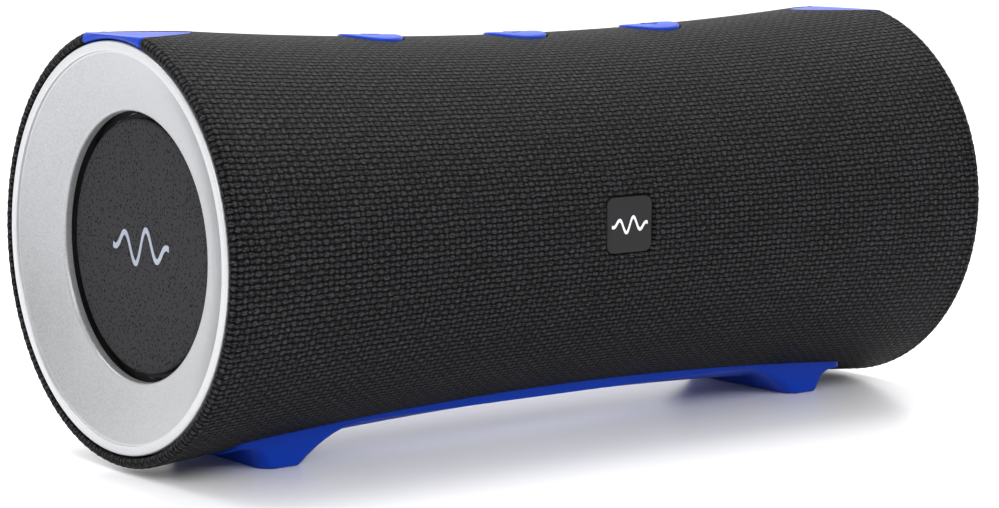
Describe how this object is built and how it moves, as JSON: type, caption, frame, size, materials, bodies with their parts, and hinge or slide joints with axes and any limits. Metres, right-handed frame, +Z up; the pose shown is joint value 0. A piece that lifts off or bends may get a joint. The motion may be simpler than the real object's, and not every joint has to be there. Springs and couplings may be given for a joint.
{
  "type": "portable cylinder speaker",
  "caption": "Portable wireless speaker: woven-covered waisted cylinder on two low feet, silver dished end rings round passive radiators, blue base, top keys and end tabs.",
  "frame": {"origin": "on the ground, under the middle of the cylinder", "axes": "+X along the cylinder towards its right end, -Y out of the front, +Z up through the keys"},
  "size_m": [0.2206, 0.0958, 0.0953],
  "materials": {
    "fabric": "coarse woven mesh",
    "housing_plastic": "moulded",
    "steel": "plated",
    "screw_steel": "plated",
    "socket_steel": "plated",
    "surround_rubber": "satin",
    "cone_plastic": "matt",
    "silver_ring": "fine silver paint",
    "radiator_grey": "fine grain",
    "blue_rubber": "satin",
    "pad_rubber": "satin",
    "board_green": "solder mask",
    "badge_grey": "satin",
    "panel_plastic": "moulded",
    "cover_rubber": "satin",
    "light_lens": "clear moulded",
    "cell_sleeve": "shrink sleeve"
  },
  "bodies": {
    "body": {"fabric_sleeve": "fabric", "rear_housing": "housing_plastic", "front_grille": "housing_plastic", "front_baffle": "housing_plastic", "driver_basket_left": "steel", "driver_surround_left": "surround_rubber", "driver_magnet_left": "steel", "driver_basket_right": "steel", "driver_surround_right": "surround_rubber", "driver_magnet_right": "steel", "end_ring_left": "silver_ring", "radiator_surround_left": "surround_rubber", "radiator_frame_left": "housing_plastic", "radiator_screw_left_1": "screw_steel", "radiator_screw_left_2": "screw_steel", "radiator_screw_left_3": "screw_steel", "end_ring_right": "silver_ring", "radiator_surround_right": "surround_rubber", "radiator_frame_right": "housing_plastic", "radiator_screw_right_1": "screw_steel", "radiator_screw_right_2": "screw_steel", "radiator_screw_right_3": "screw_steel", "base": "blue_rubber", "foot_pad_left": "pad_rubber", "base_screw_left": "screw_steel", "foot_pad_right": "pad_rubber", "base_screw_right": "screw_steel", "top_tab_left": "blue_rubber", "top_tab_right": "blue_rubber", "key_board": "board_green", "front_badge": "badge_grey", "port_panel": "panel_plastic", "status_light": "light_lens", "main_board": "board_green", "charge_socket": "socket_steel", "aux_socket": "panel_plastic", "battery_cell_1": "cell_sleeve", "battery_cell_2": "cell_sleeve", "battery_tray": "housing_plastic"},
    "volume_down": {"volume_down_key": "blue_rubber"},
    "play": {"play_key": "blue_rubber"},
    "volume_up": {"volume_up_key": "blue_rubber"},
    "power": {"power_button": "cover_rubber"},
    "pairing": {"pairing_button": "cover_rubber"},
    "flap": {"port_cover": "cover_rubber"},
    "cone_left": {"driver_cone_left": "cone_plastic"},
    "cone_right": {"driver_cone_right": "cone_plastic"},
    "radiator_left": {"radiator_cap_left": "radiator_grey", "radiator_plate_left": "steel"},
    "radiator_right": {"radiator_cap_right": "radiator_grey", "radiator_plate_right": "steel"}
  },
  "joints": [
    {"name": "volume_down_press", "type": "slide", "parent": "body", "child": "volume_down", "axis": [0, 0, -1], "range_m": [0, 0.0008], "stiffness_N_per_m": 1500},
    {"name": "play_press", "type": "slide", "parent": "body", "child": "play", "axis": [0, 0, -1], "range_m": [0, 0.0008], "stiffness_N_per_m": 1500},
    {"name": "volume_up_press", "type": "slide", "parent": "body", "child": "volume_up", "axis": [0, 0, -1], "range_m": [0, 0.0008], "stiffness_N_per_m": 1500},
    {"name": "power_press", "type": "slide", "parent": "body", "child": "power", "axis": [0, -1, 0], "range_m": [0, 0.0006], "stiffness_N_per_m": 1500},
    {"name": "pairing_press", "type": "slide", "parent": "body", "child": "pairing", "axis": [0, -1, 0], "range_m": [0, 0.0006], "stiffness_N_per_m": 1500},
    {"name": "flap_hinge", "type": "hinge", "parent": "body", "child": "flap", "pos_m": [0.02, 0.043, 0.04], "axis": [-1, 0, 0], "range_deg": [0, 110]},
    {"name": "cone_left_travel", "type": "slide", "parent": "body", "child": "cone_left", "axis": [0, -1, 0], "range_m": [-0.002, 0.002], "stiffness_N_per_m": 1200},
    {"name": "cone_right_travel", "type": "slide", "parent": "body", "child": "cone_right", "axis": [0, -1, 0], "range_m": [-0.002, 0.002], "stiffness_N_per_m": 1200},
    {"name": "radiator_left_travel", "type": "slide", "parent": "body", "child": "radiator_left", "axis": [-1, 0, 0], "range_m": [-0.003, 0.003], "stiffness_N_per_m": 2500},
    {"name": "radiator_right_travel", "type": "slide", "parent": "body", "child": "radiator_right", "axis": [1, 0, 0], "range_m": [-0.003, 0.003], "stiffness_N_per_m": 2500}
  ],
  "couplings": [
    {"joint": "radiator_right_travel", "follows": "radiator_left_travel", "ratio": 1}
  ]
}
